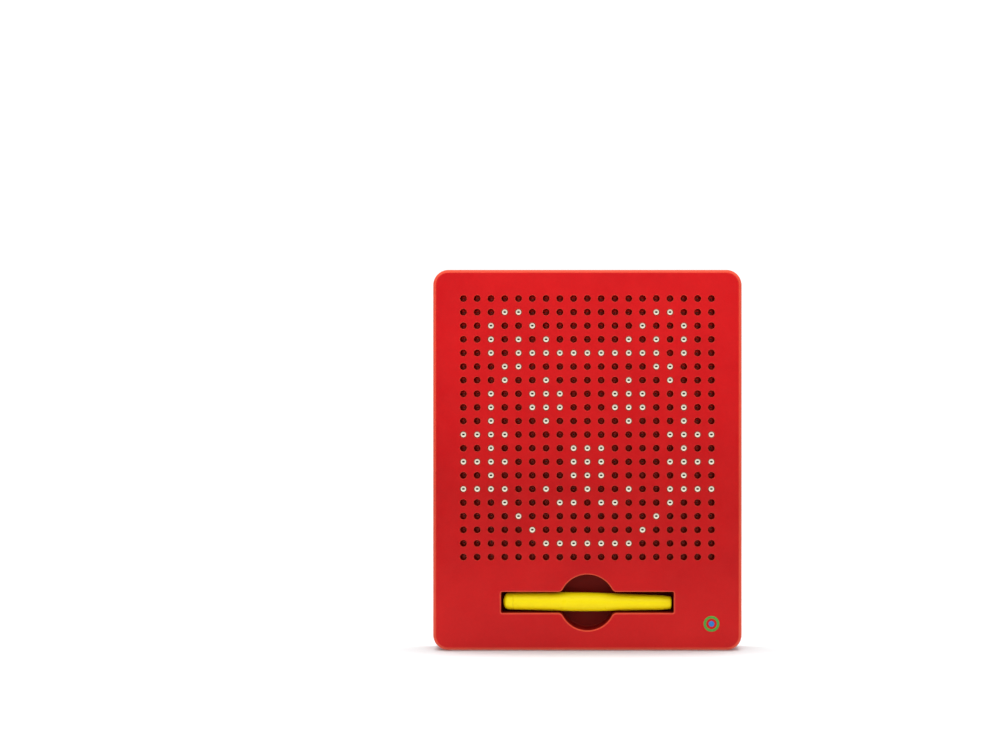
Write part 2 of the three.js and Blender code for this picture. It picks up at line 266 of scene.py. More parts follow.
class Skin:
    """A mesh made of loops of points, strips between loops, and flat fills."""

    def __init__(self, *materials):
        self.materials = materials
        self.material_index = 0
        self.points = []
        self.faces = []
        self.smooth = []
        self.material_indices = []

    def add_face(self, corners, smooth):
        self.faces.append(tuple(corners))
        self.smooth.append(smooth)
        self.material_indices.append(self.material_index)

    def loop(self, outline, depth):
        start = len(self.points)
        self.points += [at(x, depth, z) for x, z in outline]
        return list(range(start, len(self.points)))

    def strip(self, first, second, flat=False):
        """Joins two loops of as many points. The outside is on the right, going from first to second."""
        count = len(first)
        for index in range(count):
            after = (index + 1) % count
            self.add_face((first[index], second[index], second[after], first[after]), not flat)

    def sweep(self, outline_at, pairs):
        """A wall through the loops outline_at(offset) at each depth. Returns its first and last loops."""
        loops = [self.loop(outline_at(offset), depth) for offset, depth in pairs]
        for first, second in zip(loops, loops[1:]):
            self.strip(first, second)
        return loops[0], loops[-1]

    def fill(self, outer, holes, towards_back):
        """A flat face inside the loop outer and outside the loops in holes."""
        loops = [outer, *holes]
        order = [index for loop in loops for index in loop]
        triangles = tessellate_polygon([[self.points[index] for index in loop] for loop in loops])
        for triangle in triangles:
            corners = [order[index] for index in triangle]
            a, b, c = (self.points[index] for index in corners)
            if ((b - a).cross(c - a).y > 0) != towards_back:
                corners.reverse()
            self.add_face(corners, False)

    def piece(self, name):
        mesh = bpy.data.meshes.new(name)
        mesh.from_pydata(self.points, [], self.faces)
        mesh.polygons.foreach_set("use_smooth", self.smooth)
        mesh.polygons.foreach_set("material_index", self.material_indices)
        welded = bmesh.new()
        welded.from_mesh(mesh)
        bmesh.ops.remove_doubles(welded, verts=welded.verts, dist=WELD)
        welded.to_mesh(mesh)
        welded.free()
        return add_piece(name, mesh, *self.materials)


def add_piece(name, mesh, *materials):
    for material in materials:
        mesh.materials.append(material)
    made = bpy.data.objects.new(name, mesh)
    bpy.context.scene.collection.objects.link(made)
    return made


def lathe(profile, sides):
    """A round mesh about the x axis from (x, radius) points that start and end on the axis."""
    points = []
    rings = []
    for along, radius in profile:
        if radius < 1e-9:
            rings.append([len(points)])
            points.append(Vector((along, 0, 0)))
            continue
        rings.append(list(range(len(points), len(points) + sides)))
        for side in range(sides):
            angle = 2 * math.pi * side / sides
            points.append(Vector((along, radius * math.cos(angle), radius * math.sin(angle))))
    faces = []
    for near, far in zip(rings, rings[1:]):
        for side in range(sides):
            after = (side + 1) % sides
            if len(near) == 1:
                faces.append((near[0], far[side], far[after]))
            elif len(far) == 1:
                faces.append((near[side], far[0], near[after]))
            else:
                faces.append((near[side], far[side], far[after], near[after]))
    return points, faces


def lathe_mesh(name, profile, sides, place):
    points, faces = lathe(profile, sides)
    mesh = bpy.data.meshes.new(name)
    mesh.from_pydata([place @ point for point in points], [], faces)
    mesh.polygons.foreach_set("use_smooth", [True] * len(faces))
    mesh.update()
    return mesh


def sharpen(mesh, degrees):
    """Marks the edges between faces that meet more sharply than this, so that they shade as edges."""
    edited = bmesh.new()
    edited.from_mesh(mesh)
    for edge in edited.edges:
        edge.smooth = len(edge.link_faces) != 2 or edge.calc_face_angle(0) < math.radians(degrees)
    edited.to_mesh(mesh)
    edited.free()


# ---------------------------------------------------------------- materials


# How far behind the face the rounded edges carry the painted highlight in full, stop doing so, and have their
# own colour again.
HIGHLIGHT_START = 0.12 * MM
HIGHLIGHT_END = 1.6 * MM
HIGHLIGHT_GONE = 3.2 * MM


class Nodes:
    """A material's node tree, with short ways to add to it."""

    def __init__(self, name):
        self.material = bpy.data.materials.new(name)
        self.material.use_nodes = True
        self.tree = self.material.node_tree
        self.shader = self.tree.nodes["Principled BSDF"]
        self.place = self.tree.nodes.new("ShaderNodeTexCoord").outputs["Object"]

    def link(self, source, target):
        self.tree.links.new(source, target)

    def noise(self, scale, detail=2.0, roughness=0.5, stretch=None):
        node = self.tree.nodes.new("ShaderNodeTexNoise")
        node.inputs["Scale"].default_value = scale
        node.inputs["Detail"].default_value = detail
        node.inputs["Roughness"].default_value = roughness
        source = self.place
        if stretch:
            mapping = self.tree.nodes.new("ShaderNodeMapping")
            mapping.inputs["Scale"].default_value = stretch
            self.link(source, mapping.inputs["Vector"])
            source = mapping.outputs["Vector"]
        self.link(source, node.inputs["Vector"])
        return node.outputs["Fac"]

    def ramp(self, source, stops):
        """A colour ramp through (position, colour) stops."""
        node = self.tree.nodes.new("ShaderNodeValToRGB")
        elements = node.color_ramp.elements
        while len(elements) < len(stops):
            elements.new(0.5)
        for element, (position, colour) in zip(elements, stops):
            element.position = position
            element.color = (*colour, 1)
        self.link(source, node.inputs["Fac"])
        return node.outputs["Color"]

    def span(self, source, low, high):
        """The source, which is about 0.3 to 0.7, as a number from low to high."""
        node = self.tree.nodes.new("ShaderNodeMapRange")
        node.inputs["From Min"].default_value = 0.3
        node.inputs["From Max"].default_value = 0.7
        node.inputs["To Min"].default_value = low
        node.inputs["To Max"].default_value = high
        self.link(source, node.inputs["Value"])
        return node.outputs["Result"]

    def fade(self, source, start, end):
        """The source as a smooth step from 0 at start to 1 at end."""
        node = self.tree.nodes.new("ShaderNodeMapRange")
        node.interpolation_type = "SMOOTHSTEP"
        node.inputs["From Min"].default_value = start
        node.inputs["From Max"].default_value = end
        self.link(source, node.inputs["Value"])
        return node.outputs["Result"]

    # The mask of the painted highlight on the rounded edges near the face.
    def edge_highlight_mask(self):
        """1 on the rounded edges just behind the face, 0 on the face itself and deeper in."""
        split = self.tree.nodes.new("ShaderNodeSeparateXYZ")
        self.link(self.place, split.inputs["Vector"])
        depth = split.outputs["Y"]
        behind = self.fade(depth, FACE_Y, FACE_Y + HIGHLIGHT_START)
        node = self.tree.nodes.new("ShaderNodeMath")
        node.operation = "SUBTRACT"
        node.use_clamp = True
        self.link(behind, node.inputs[0])
        self.link(self.fade(depth, FACE_Y + HIGHLIGHT_END, FACE_Y + HIGHLIGHT_GONE), node.inputs[1])
        return node.outputs["Value"]

    def mix(self, factor, first, second):
        """The first colour, turning into the second, a constant, as the factor rises."""
        node = self.tree.nodes.new("ShaderNodeMix")
        node.data_type = "RGBA"
        # Inputs 6 and 7, and output 2, are the colour ones.
        self.link(factor, node.inputs["Factor"])
        self.link(first, node.inputs[6])
        node.inputs[7].default_value = (*second, 1)
        return node.outputs[2]

    def times(self, colour, factor):
        node = self.tree.nodes.new("ShaderNodeVectorMath")
        node.operation = "SCALE"
        self.link(colour, node.inputs[0])
        self.link(factor, node.inputs["Scale"])
        return node.outputs["Vector"]

    def bump(self, source, distance, below=None):
        node = self.tree.nodes.new("ShaderNodeBump")
        node.inputs["Strength"].default_value = 1
        node.inputs["Distance"].default_value = distance
        self.link(source, node.inputs["Height"])
        if below:
            self.link(below, node.inputs["Normal"])
        return node.outputs["Normal"]


def moulded(name, dark, light, roughness, grain, mottle=0.04, waves=0.012 * MM, shine=0.5, edges=None):
    """Moulded plastic: cloudy, finely mottled colour, an uneven gloss, a fine grain and a slight waviness.

    If edges is given, its rounded edges near the face get that paler colour as a painted highlight.
    """
    made = Nodes(name)
    clouds = made.ramp(made.noise(28, detail=4), [(0.3, dark), (0.7, light)])
    if edges:
        # Painted highlight: the rounded edges near the face turn to the paler edges colour.
        clouds = made.mix(made.edge_highlight_mask(), clouds, edges)
    specks = made.span(made.noise(700, detail=4, roughness=0.7), 1 - mottle, 1 + mottle)
    made.link(made.times(clouds, specks), made.shader.inputs["Base Color"])
    gloss = made.noise(160, detail=3)
    made.link(made.span(gloss, roughness * 0.88, roughness * 1.12), made.shader.inputs["Roughness"])
    wavy = made.bump(made.noise(45, detail=1), waves)
    fine = made.bump(made.noise(2600, detail=2, roughness=0.6), grain, below=wavy)
    made.link(fine, made.shader.inputs["Normal"])
    made.shader.inputs["IOR"].default_value = 1.5
    made.shader.inputs["Specular IOR Level"].default_value = shine
    made.shader.inputs["Specular Tint"].default_value = (1, 0.88, 0.7, 1)
    return made.material


def polished_steel(name):
    """Ball steel: bright, with faint clouds in its polish and hair scratches."""
    made = Nodes(name)
    made.shader.inputs["Metallic"].default_value = 1
    clouds = made.noise(900, detail=3)
    colours = [(0.3, (0.64, 0.61, 0.56)), (0.7, (0.7, 0.67, 0.61))]
    made.link(made.ramp(clouds, colours), made.shader.inputs["Base Color"])
    made.link(made.span(made.noise(1400), 0.06, 0.1), made.shader.inputs["Roughness"])
    scratches = made.noise(2500, detail=1, stretch=(1, 1, 0.08))
    made.link(made.bump(scratches, 0.0001 * MM), made.shader.inputs["Normal"])
    return made.material


def plated_steel(name, colour, roughness):
    """Plated steel with a brushed, slightly stained surface."""
    made = Nodes(name)
    made.shader.inputs["Metallic"].default_value = 1
    stains = made.noise(700, detail=4)
    darker = tuple(0.8 * channel for channel in colour)
    made.link(made.ramp(stains, [(0.35, darker), (0.65, colour)]), made.shader.inputs["Base Color"])
    made.link(made.span(made.noise(1800), roughness * 0.8, roughness * 1.25), made.shader.inputs["Roughness"])
    brushed = made.noise(3000, detail=1, stretch=(1, 0.1, 1))
    made.link(made.bump(brushed, 0.001 * MM), made.shader.inputs["Normal"])
    return made.material


def printed_ink(name, colour):
    """A pad-printed ink film: slightly uneven cover, a little duller than the plastic."""
    made = Nodes(name)
    thin = tuple(0.86 * channel for channel in colour)
    made.link(made.ramp(made.noise(1500, detail=3), [(0.35, thin), (0.65, colour)]),
              made.shader.inputs["Base Color"])
    made.link(made.span(made.noise(2200), 0.38, 0.5), made.shader.inputs["Roughness"])
    made.link(made.bump(made.noise(3200), 0.002 * MM), made.shader.inputs["Normal"])
    return made.material


# Its rounded edges, hole rims and pocket rim get a paler orange as a painted highlight.
RED = moulded("red_case", (0.53, 0.004, 0.008), (0.6, 0.006, 0.009), 0.38, 0.006 * MM, shine=0.3,
              edges=(0.68, 0.06, 0.03))
RED_BACK = moulded("red_back", (0.5, 0.004, 0.008), (0.57, 0.006, 0.009), 0.5, 0.012 * MM, shine=0.3)
# A darker red for the stylus pocket's wall and floor: painted shade of the deep recess.
RECESS_PAINTED_SHADE = moulded("recess_painted_shade", (0.18, 0.002, 0.002), (0.23, 0.003, 0.003), 0.55, 0.012 * MM, shine=0.2)
# A slightly darker copy of the case red for the sockets: painted shade inside them. The stylus magnet's plug
# gets it too.
SOCKET_PAINTED_SHADE = moulded("socket_painted_shade", (0.5, 0.003, 0.004), (0.56, 0.004, 0.005), 0.5, 0.008 * MM, shine=0.3)
YELLOW = moulded("yellow_stylus", (0.95, 0.76, 0.003), (0.99, 0.82, 0.004), 0.3, 0.001 * MM,
                 mottle=0.01, waves=0.001 * MM, shine=0.2)
BALL_STEEL = polished_steel("ball_steel")
SCREW_STEEL = plated_steel("screw_steel", (0.6, 0.61, 0.63), 0.3)
MAGNET_STEEL = plated_steel("magnet_plating", (0.66, 0.66, 0.68), 0.22)
GREEN_INK = printed_ink("green_ink", (0.08, 0.36, 0.04))
BLUE_INK = printed_ink("blue_ink", (0.02, 0.2, 0.6))


# ---------------------------------------------------------------- the case


def bead_place(row, column):
    """x and z of a bead. Row 0 is at the top and column 0 on the left."""
    x = FIRST_BEAD.x + column * COLUMN_PITCH
    return x, TOP_ROW - row * ROW_PITCH


def every_place():
    return [(row, column) for row in range(ROWS) for column in range(COLUMNS)]


def cell_border(x, z):
    """Evenly spaced points round a bead's rectangle of the field, anticlockwise from its lower right."""
    corners = rectangle(x, z, COLUMN_PITCH, ROW_PITCH)
    corners = corners[1:] + corners[:1]
    points = []
    for (ax, az), (bx, bz) in zip(corners, corners[1:] + corners[:1]):
        for step in range(CELL_SIDE_STEPS):
            share = step / CELL_SIDE_STEPS
            points.append((ax + (bx - ax) * share, az + (bz - az) * share))
    return points


def cell_hole(x, z, radius):
    """A circle with a point for each of cell_border's, and in line with it."""
    sides = 4 * CELL_SIDE_STEPS
    turn = 2 * math.pi / sides
    start = -math.pi / 4
    return [
        (x + radius * math.cos(start + turn * side), z + radius * math.sin(start + turn * side))
        for side in range(sides)
    ]


def field_border():
    """The outside of all the cells, with the cells' own points, anticlockwise."""
    left, top = bead_place(0, 0)
    right, bottom = bead_place(ROWS - 1, COLUMNS - 1)
    left -= COLUMN_PITCH / 2
    right += COLUMN_PITCH / 2
    top += ROW_PITCH / 2
    bottom -= ROW_PITCH / 2
    across = COLUMNS * CELL_SIDE_STEPS
    up = ROWS * CELL_SIDE_STEPS
    points = [(left + (right - left) * step / across, bottom) for step in range(across)]
    points += [(right, bottom + (top - bottom) * step / up) for step in range(up)]
    points += [(right + (left - right) * step / across, top) for step in range(across)]
    points += [(left, top + (bottom - top) * step / up) for step in range(up)]
    return points


def field_plate(skin, near, far, pairs):
    """The cells between two depths, each with a round hole through it whose profile pairs gives."""
    for row, column in every_place():
        x, z = bead_place(row, column)
        border = cell_border(x, z)
        first, last = skin.sweep(lambda radius: cell_hole(x, z, radius), pairs)
        skin.strip(skin.loop(border, near), first, flat=True)
        if far is not None:
            skin.strip(last, skin.loop(border, far), flat=True)
        else:
            skin.fill(last, [], towards_back=False)


def screw_places():
    return [middle(name) for name in sorted(frame["nodes"]) if name.startswith("screw_")]


def add_boss(skin, x, z):
    """A screw boss under the face. Returns the loop where it meets the plate."""
    end = SKIRT_DEPTH - GAP
    edge = end - BOSS_ROUND
    radii = [(BOSS_RADIUS, FACE_PLATE), (BOSS_RADIUS, edge), (BOSS_RADIUS - BOSS_ROUND, end),
             (PILOT_RADIUS + BOSS_ROUND, end), (PILOT_RADIUS, edge), (PILOT_RADIUS, PILOT_START)]
    first, last = skin.sweep(lambda radius: circle(x, z, radius, BOSS_SIDES), radii)
    skin.fill(last, [], towards_back=True)
    return first


def front_case():
    """Face, rounded edge, skirt, screw bosses and stylus pocket, as one moulding."""
    skin = Skin(RED, RECESS_PAINTED_SHADE)
    edge = rounded_profile(0, FACE_ROUND, FACE_ROUND, FACE_EDGE_STEPS)
    edge += [(0, SKIRT_DEPTH - SEAM_ROUND), (SEAM_ROUND, SKIRT_DEPTH)]
    edge += [(SKIRT_WALL, SKIRT_DEPTH), (SKIRT_WALL, FACE_PLATE)]
    face_loop, inside_loop = skin.sweep(board_outline, edge)

    wall = rounded_profile(0, POCKET_RIM, POCKET_RIM, RIM_STEPS)
    foot = POCKET_DEPTH - POCKET_FOOT
    wall.append((0, foot))
    for step in range(1, FOOT_STEPS + 1):
        angle = step / FOOT_STEPS * math.pi / 2
        wall.append((-POCKET_FOOT * (1 - math.cos(angle)), foot + POCKET_FOOT * math.sin(angle)))
    loops = [skin.loop(pocket_outline(grow), depth) for grow, depth in wall]
    for index, (first, second) in enumerate(zip(loops, loops[1:])):
        # The rim is as bright as the face, and the wall and floor below it get the darker red as painted
        # shade.
        skin.material_index = 0 if index < RIM_STEPS else 1
        skin.strip(second, first)
    skin.fill(loops[-1], [], towards_back=False)
    skin.material_index = 0
    pocket_loop = loops[0]

    tray = [(POCKET_WALL, FACE_PLATE), (POCKET_WALL, POCKET_DEPTH + POCKET_WALL)]
    tray_top, tray_bottom = skin.sweep(pocket_outline, tray)
    skin.fill(tray_bottom, [], towards_back=True)

    bosses = [add_boss(skin, place.x, place.z) for place in screw_places()]
    skin.fill(face_loop, [skin.loop(field_border(), 0), pocket_loop], towards_back=False)
    inner_holes = [skin.loop(field_border(), FACE_PLATE), tray_top, *bosses]
    skin.fill(inside_loop, inner_holes, towards_back=True)

    rim = rounded_profile(0, HOLE_RIM, HOLE_RIM, HOLE_RIM_STEPS)
    hole = [(HOLE_RADIUS + inset, depth) for inset, depth in rim]
    hole += [(HOLE_RADIUS, HOLE_LIP), (SOCKET_RADIUS, FACE_PLATE)]
    field_plate(skin, 0, FACE_PLATE, hole)
    made = skin.piece("case_front")
    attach(made, "board")
    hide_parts("front_shell")
    return made


def socket_block():
    """The block behind the face, with a round socket for each bead."""
    # The sockets' slightly darker red is painted shade.
    skin = Skin(SOCKET_PAINTED_SHADE)
    left, bottom = grid_low.x, grid_low.z
    width = grid_high.x - grid_low.x
    height = grid_high.z - grid_low.z
    outline = rectangle(left + width / 2, bottom + height / 2, width, height)
    near, far = skin.loop(outline, GRID_NEAR), skin.loop(outline, GRID_FAR)
    skin.strip(near, far, flat=True)
    skin.fill(far, [], towards_back=True)
    skin.fill(near, [skin.loop(field_border(), GRID_NEAR)], towards_back=False)
    socket = [(SOCKET_RADIUS + SOCKET_MOUTH, GRID_NEAR), (SOCKET_RADIUS, GRID_NEAR + SOCKET_MOUTH),
              (SOCKET_RADIUS, SOCKET_DEPTH - SOCKET_TAPER), (SOCKET_RADIUS - SOCKET_TAPER, SOCKET_DEPTH)]
    field_plate(skin, GRID_NEAR, None, socket)
    made = skin.piece("socket_block")
    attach(made, "board")
    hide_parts("bead_grid")
    return made


def rear_case():
    """The flat back, with its counterbored screw holes and the lip that sits inside the skirt."""
    skin = Skin(RED_BACK)
    lip_outside = SKIRT_WALL + GAP
    lip_inside = lip_outside + LIP_WALL
    lip_near = COVER_NEAR - LIP_HEIGHT
    edge = [(lip_inside, COVER_INSIDE), (lip_inside, lip_near), (lip_outside, lip_near),
            (lip_outside, COVER_NEAR), (SEAM_ROUND, COVER_NEAR), (0, COVER_NEAR + SEAM_ROUND)]
    edge += reversed(rounded_profile(BOARD_DEPTH, BOARD_DEPTH - BACK_ROUND, BACK_ROUND, BACK_EDGE_STEPS))
    inside_loop, back_loop = skin.sweep(board_outline, edge)
    inner_holes = []
    outer_holes = []
    seat_near = COVER_NEAR - GAP
    radii = [(SEAT_RADIUS, COVER_INSIDE), (SEAT_RADIUS, seat_near), (SCREW_HOLE_RADIUS, seat_near),
             (SCREW_HOLE_RADIUS, SEAT_DEPTH), (COUNTERBORE_RADIUS, SEAT_DEPTH),
             (COUNTERBORE_RADIUS, BOARD_DEPTH - COUNTERBORE_ROUND),
             (COUNTERBORE_RADIUS + COUNTERBORE_ROUND, BOARD_DEPTH)]
    for place in screw_places():
        first, last = skin.sweep(lambda radius: circle(place.x, place.z, radius, COUNTERBORE_SIDES), radii)
        inner_holes.append(first)
        outer_holes.append(last)
    skin.fill(inside_loop, inner_holes, towards_back=False)
    skin.fill(back_loop, outer_holes, towards_back=True)
    made = skin.piece("case_back")
    sharpen(made.data, 40)
    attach(made, "board")
    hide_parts("rear_cover")
    return made


# ---------------------------------------------------------------- beads


def ball_profile(steps):
    """A half circle from pole to pole, for a ball whose poles are in front and behind."""
    profile = []
    for step in range(steps + 1):
        angle = math.pi * step / steps
        radius = 0 if step in (0, steps) else BEAD_RADIUS * math.sin(angle)
        profile.append((-BEAD_RADIUS * math.cos(angle), radius))
    return profile


def ball(centre, sides, steps):
    """The points and faces of a ball at a place, with its poles along y."""
    points, faces = lathe(ball_profile(steps), sides)
    place = Matrix.Translation(centre) @ Matrix.Rotation(math.pi / 2, 4, "Z")
    return [place @ point for point in points], faces


def ball_piece(name, centres, sides, steps):
    """One piece holding a ball at each centre."""
    points = []
    faces = []
    for centre in centres:
        more_points, more_faces = ball(centre, sides, steps)
        start = len(points)
        points += more_points
        faces += [tuple(start + index for index in face) for face in more_faces]
    mesh = bpy.data.meshes.new(name)
    mesh.from_pydata(points, [], faces)
    mesh.polygons.foreach_set("use_smooth", [True] * len(faces))
    made = add_piece(name, mesh, BALL_STEEL)
    return made


def beads():
    """A ball in every socket. Those with a CAD node move on their own, and the others are fixed."""
    fixed = {"O": [], ".": []}
    for row, column in every_place():
        x, z = bead_place(row, column)
        state = PICTURE[row][column]
        node = f"bead_{row + 1:02d}_{column + 1:02d}"
        centre = at(x, RAISED_DEPTH if state == "O" else PUSHED_DEPTH, z)
        if node in frame["nodes"]:
            made = ball_piece(node.replace("bead", "ball"), [centre], *MOVING_BALL)
            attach(made, node)
            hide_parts(node)
        else:
            fixed[state].append(centre)
    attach(ball_piece("balls_raised", fixed["O"], *RAISED_BALL), "board")
    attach(ball_piece("balls_pushed_in", fixed["."], *PUSHED_BALL), "board")


# ---------------------------------------------------------------- stylus


# The stylus, measured along its axis from its domed end.
DOME_LENGTH = 3 * MM
DOME_RADIUS = 4.9 * MM
MAGNET_MIDDLE = 91.5 * MM
# Points of its outlines: how far along it, and the radius there, in millimetres.
CAP_RIM = [(4.5, 5.03), (5.8, 5.1), (5.93, 5.07), (5.97, 5)]
CAP_SPIGOT = [(5.97, 3.3), (11.7, 3.3), (11.85, 3.1), (11.85, 0)]
BARREL_INSIDE = [(97.3, 0), (97.3, 2.7), (86, 2.7), (86, 3.6), (6.03, 3.6), (6.03, 5), (6.08, 5.08)]
BARREL_OUTSIDE = [(6.3, 5.12), (20, 5.3), (36, 5.45), (50, 5.41), (60, 5.2), (66, 5.02), (80, 4.68),
                  (90.5, 4.42)]
NOSE = [(91.6, 4.37), (93, 4.27), (95.2, 4.05), (96.9, 3.85), (97.6, 3.7), (98, 3.5), (98.25, 3.15),
        (98.4, 2.5), (98.47, 1.6), (98.5, 0.8), (98.5, 0)]


def in_metres(outline):
    return [(along * MM, radius * MM) for along, radius in outline]


def stylus_place():
    """The frame of the stylus: its domed end at the origin, and x along it."""
    magnet = middle("stylus_magnet")
    along = (magnet - middle("stylus_magnet_plug")).normalized()
    turned = Vector((1, 0, 0)).rotation_difference(along).to_matrix().to_4x4()
    return Matrix.Translation(magnet - along * MAGNET_MIDDLE) @ turned


def smooth_between(points, steps):
    """A smooth curve through (along, radius) points, by the Catmull-Rom formula."""
    ends = [points[0], *points, points[-1]]
    made = [points[0]]
    for a, b, c, d in zip(ends, ends[1:], ends[2:], ends[3:]):
        for step in range(1, steps + 1):
            t = step / steps
            made.append(tuple(
                0.5 * (2 * q + (r - p) * t + (2 * p - 5 * q + 4 * r - s) * t * t
                       + (3 * q - p - 3 * r + s) * t ** 3)
                for p, q, r, s in zip(a, b, c, d)))
    return made


def stylus_cap(place):
    """The domed end, with a small groove where it meets the barrel, and its spigot inside."""
    profile = [(0, 0)]
    for step in range(1, DOME_STEPS + 1):
        angle = step / DOME_STEPS * math.pi / 2
        profile.append((DOME_LENGTH * (1 - math.cos(angle)), DOME_RADIUS * math.sin(angle)))
    profile += in_metres(CAP_RIM + CAP_SPIGOT)
    mesh = lathe_mesh("stylus_cap", profile, STYLUS_SIDES, place)
    sharpen(mesh, 50)
    made = add_piece("stylus_cap", mesh, YELLOW)
    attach(made, "stylus")
    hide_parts("stylus_end_cap")


def stylus_body(place):
    """The hollow barrel: fullest in the middle, then tapering to a short blunt nose."""
    profile = in_metres(BARREL_INSIDE + smooth_between(BARREL_OUTSIDE, BARREL_STEPS) + NOSE)
    mesh = lathe_mesh("stylus_body", profile, STYLUS_SIDES, place)
    sharpen(mesh, 50)
    made = add_piece("stylus_body", mesh, YELLOW)
    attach(made, "stylus")
    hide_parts("stylus_barrel")


# ---------------------------------------------------------------- screws and print


# A screw, measured along its axis from the middle of its head, in millimetres: distance and radius.
SCREW_HEAD = [(0, 0), (0.01, 1.2), (0.09, 1.9), (0.28, 2.4), (0.55, 2.65), (0.9, 2.7), (1.5, 2.7), (1.6, 2.6)]
SCREW_NECK = [(1.6, 1.05), (1.9, 0.85)]
THREAD_TURN = [(0, 0.85), (0.4, 0.98), (0.55, 0.98), (0.9, 0.85)]
THREAD_START = 2.3
THREAD_PITCH = 1.1
THREAD_TURNS = 6
SCREW_POINT = [(9.6, 0.8), (10.7, 0)]
RECESS_SIZE = (2.4 * MM, 3.2 * MM, 0.62 * MM)
RECESS_NARROWS_TO = 0.45
# How far each screw is turned, in degrees: the first, and how much further each next one.
FIRST_TURN = 11
NEXT_TURN = 37


def cross_cutter():
    """Two crossed wedges that cut a screw's recess, with the screw's axis along x."""
    edited = bmesh.new()
    for turn in (0, math.pi / 2):
        made = bmesh.ops.create_cube(edited, size=1)["verts"]
        bmesh.ops.scale(edited, vec=RECESS_SIZE, verts=made)
        for vertex in made:
            if vertex.co.x > 0:
                vertex.co.y *= RECESS_NARROWS_TO
        bmesh.ops.rotate(edited, verts=made, matrix=Matrix.Rotation(turn, 3, "X"))
    mesh = bpy.data.meshes.new("cross_cutter")
    edited.to_mesh(mesh)
    edited.free()
    cutter = bpy.data.objects.new("cross_cutter", mesh)
    bpy.context.scene.collection.objects.link(cutter)
    return cutter


def screw_mesh():
    """A pan-head screw along x, from the middle of its head at x = 0 to its point."""
    thread = []
    for turn in range(THREAD_TURNS):
        start = THREAD_START + turn * THREAD_PITCH
        thread += [(start + along, radius) for along, radius in THREAD_TURN]
    profile = in_metres(SCREW_HEAD + SCREW_NECK + thread + SCREW_POINT)
    blank = lathe_mesh("screw_blank", profile, SCREW_SIDES, Matrix.Identity(4))
    solid = add_piece("screw_blank", blank, SCREW_STEEL)
    cutter = cross_cutter()
    cut = solid.modifiers.new("recess", "BOOLEAN")
    cut.operation = "DIFFERENCE"
    cut.solver = "EXACT"
    cut.use_self = True
    cut.object = cutter
    bpy.context.view_layer.update()
    seen = solid.evaluated_get(bpy.context.evaluated_depsgraph_get())
    mesh = bpy.data.meshes.new_from_object(seen)
    sharpen(mesh, 35)
    for spare in (solid, cutter):
        bpy.data.objects.remove(spare)
    return mesh


def screws():
    """Each screw's head is towards the back, and its recess is turned its own way."""
    shape = screw_mesh()
    names = [name for name in sorted(frame["nodes"]) if name.startswith("screw_")]
    for index, name in enumerate(names):
        low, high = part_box(name)
        centre = Vector(((low.x + high.x) / 2, high.y, (low.z + high.z) / 2))
        turned = Matrix.Rotation(math.radians(FIRST_TURN + NEXT_TURN * index), 4, "X")
        mesh = shape.copy()
        mesh.transform(Matrix.Translation(centre) @ Matrix.Rotation(-math.pi / 2, 4, "Z") @ turned)
        made = bpy.data.objects.new(name.replace("screw", "case_screw"), mesh)
        bpy.context.scene.collection.objects.link(made)
        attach(made, "board")
        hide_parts(name)


def print_film(name, outer, inner, material):
    """A printed ring, or a dot if inner is 0, as a film with a soft edge that is rooted in the face."""
    skin = Skin(material)

    def loops_at(radius, inwards):
        edge = [(0, INK_ROOT), (0.04 * MM, -0.8 * INK_FILM), (0.12 * MM, -INK_FILM)]
        return [skin.loop(circle(PRINT_X, PRINT_Z, radius + inwards * inset, PRINT_SIDES), depth)
                for inset, depth in edge]

    outside = loops_at(outer, -1)
    for first, second in zip(outside, outside[1:]):
        skin.strip(second, first)
    inside = loops_at(inner, 1) if inner else []
    for first, second in zip(inside, inside[1:]):
        skin.strip(first, second)
    skin.fill(outside[-1], inside[-1:], towards_back=False)
    skin.fill(outside[0], inside[:1], towards_back=True)
    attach(skin.piece(name), "board")


# ---------------------------------------------------------------- stage, light and camera


# The floor's sheet, in metres: half its width, and where its front and back edges are.
FLOOR_SIDE = 0.75
FLOOR_FRONT = -0.26
FLOOR_BACK = 0.55


def floor():
    """A sheet of white paper. The beads and the glossy edges mirror the tent instead of it."""
    mesh = bpy.data.meshes.new("floor")
    front_edge = [(-FLOOR_SIDE, FLOOR_FRONT, 0), (FLOOR_SIDE, FLOOR_FRONT, 0)]
    back_edge = [(FLOOR_SIDE, FLOOR_BACK, 0), (-FLOOR_SIDE, FLOOR_BACK, 0)]
    mesh.from_pydata(front_edge + back_edge, [], [(0, 1, 2, 3)])
    made = Nodes("floor_paper")
    made.link(made.ramp(made.noise(3), [(0.3, (0.65, 0.67, 0.675)), (0.7, (0.67, 0.69, 0.695))]),
              made.shader.inputs["Base Color"])
    made.shader.inputs["Roughness"].default_value = 0.9
    made.shader.inputs["Specular IOR Level"].default_value = 0.1
    sheet = add_piece("floor", mesh, made.material)
    sheet.visible_glossy = False


def soft_box(name, place, aim, width, height, power):
    """A light that the beads and the glossy edges don't mirror."""
    light = bpy.data.lights.new(name, "AREA")
    light.shape = "RECTANGLE"
    light.size = width
    light.size_y = height
    light.energy = power
    made = bpy.data.objects.new(name, light)
    made.location = place
    made.rotation_euler = (Vector(aim) - Vector(place)).to_track_quat("-Z", "Y").to_euler()
    made.visible_camera = False
    made.visible_glossy = False
    bpy.context.scene.collection.objects.link(made)


